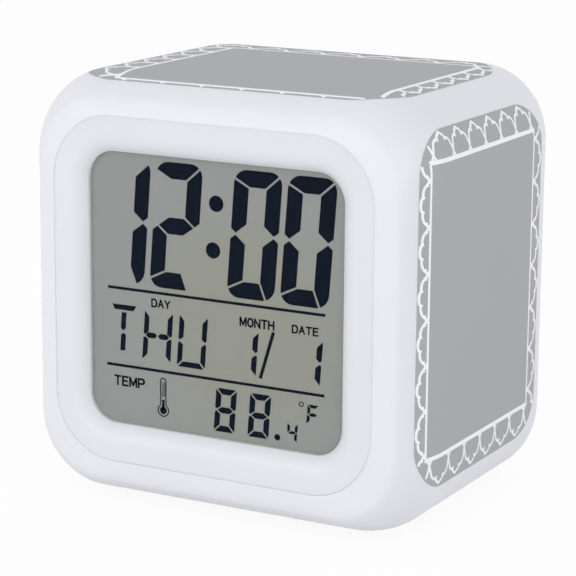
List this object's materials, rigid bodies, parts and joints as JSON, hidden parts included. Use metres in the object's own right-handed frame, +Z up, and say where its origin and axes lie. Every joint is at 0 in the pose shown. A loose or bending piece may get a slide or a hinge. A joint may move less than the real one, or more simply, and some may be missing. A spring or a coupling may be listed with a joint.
{
  "type": "digital alarm clock",
  "caption": "Cube desk alarm clock with a translucent white rounded case, a square liquid-crystal display in a dished bezel, printed trellis panels, rear buttons and a hinged battery door.",
  "frame": {"origin": "on the table surface under the middle of the clock's outer box", "axes": "+Z up, -Y out of the display, +X to the right when facing the display"},
  "size_m": [0.08, 0.0648, 0.0788],
  "materials": {
    "case_white": "satin translucent moulding",
    "bezel_white": "satin translucent moulding",
    "lens_clear": "polished clear sheet",
    "pad_rubber": "soft matt rubber",
    "foam_grey": "closed-cell foam",
    "lcd_grey": "satin polariser",
    "frame_white": "matt",
    "guide_clear": "clear moulded",
    "led_clear": "clear epoxy",
    "zebra_rubber": "striped elastomer",
    "board_green": "solder mask",
    "epoxy_black": "cured epoxy",
    "can_metal": "plated",
    "bead_blue": "dipped epoxy",
    "sleeve_blue": "shrink sleeve",
    "screw_steel": "zinc plated",
    "panel_print": "printed satin",
    "switch_black": "moulded",
    "plunger_ivory": "moulded",
    "button_white": "satin moulded",
    "cell_jacket": "printed jacket",
    "contact_nickel": "nickel plated",
    "wire_red": "insulated lead",
    "wire_black": "insulated lead",
    "ribbon_grey": "flat ribbon"
  },
  "bodies": {
    "clock_body": {"case_shell": "case_white", "base_pad": "pad_rubber", "front_bezel": "bezel_white", "display_lens": "lens_clear", "lcd_gasket": "foam_grey", "lcd_cell": "lcd_grey", "lcd_holder": "frame_white", "light_guide": "guide_clear", "backlight_leds": "led_clear", "zebra_strip": "zebra_rubber", "main_board": "board_green", "chip_blob": "epoxy_black", "crystal": "can_metal", "thermistor": "bead_blue", "capacitor": "sleeve_blue", "color_leds": "led_clear", "board_screws": "screw_steel", "panel_top": "panel_print", "panel_left": "panel_print", "panel_right": "panel_print", "rear_cover": "case_white", "rear_cover_screws": "screw_steel", "key_board": "board_green", "tact_switches": "switch_black", "switch_board": "board_green", "slide_switch": "can_metal", "buzzer": "switch_black", "small_screws": "screw_steel", "cell_1": "cell_jacket", "cell_2": "cell_jacket", "cell_3": "cell_jacket", "battery_plates": "contact_nickel", "battery_springs": "contact_nickel", "battery_wire_red": "wire_red", "battery_wire_black": "wire_black", "key_ribbon": "ribbon_grey", "switch_ribbon": "ribbon_grey"},
    "mode_button": {"button_mode": "button_white", "plunger_mode": "plunger_ivory"},
    "set_button": {"button_set": "button_white", "plunger_set": "plunger_ivory"},
    "up_button": {"button_up": "button_white", "plunger_up": "plunger_ivory"},
    "down_button": {"button_down": "button_white", "plunger_down": "plunger_ivory"},
    "light_switch": {"light_slider": "switch_black"},
    "battery_door": {"battery_door": "case_white"}
  },
  "joints": [
    {"name": "mode_press", "type": "slide", "parent": "clock_body", "child": "mode_button", "axis": [0, -1, 0], "range_m": [0, 0.0006], "stiffness_N_per_m": 800},
    {"name": "set_press", "type": "slide", "parent": "clock_body", "child": "set_button", "axis": [0, -1, 0], "range_m": [0, 0.0006], "stiffness_N_per_m": 800},
    {"name": "up_press", "type": "slide", "parent": "clock_body", "child": "up_button", "axis": [0, -1, 0], "range_m": [0, 0.0006], "stiffness_N_per_m": 800},
    {"name": "down_press", "type": "slide", "parent": "clock_body", "child": "down_button", "axis": [0, -1, 0], "range_m": [0, 0.0006], "stiffness_N_per_m": 800},
    {"name": "light_slide", "type": "slide", "parent": "clock_body", "child": "light_switch", "axis": [1, 0, 0], "range_m": [0, 0.0025]},
    {"name": "door_hinge", "type": "hinge", "parent": "clock_body", "child": "battery_door", "pos_m": [0, 0.0304, 0.0207], "axis": [-1, 0, 0], "range_deg": [0, 90]}
  ]
}
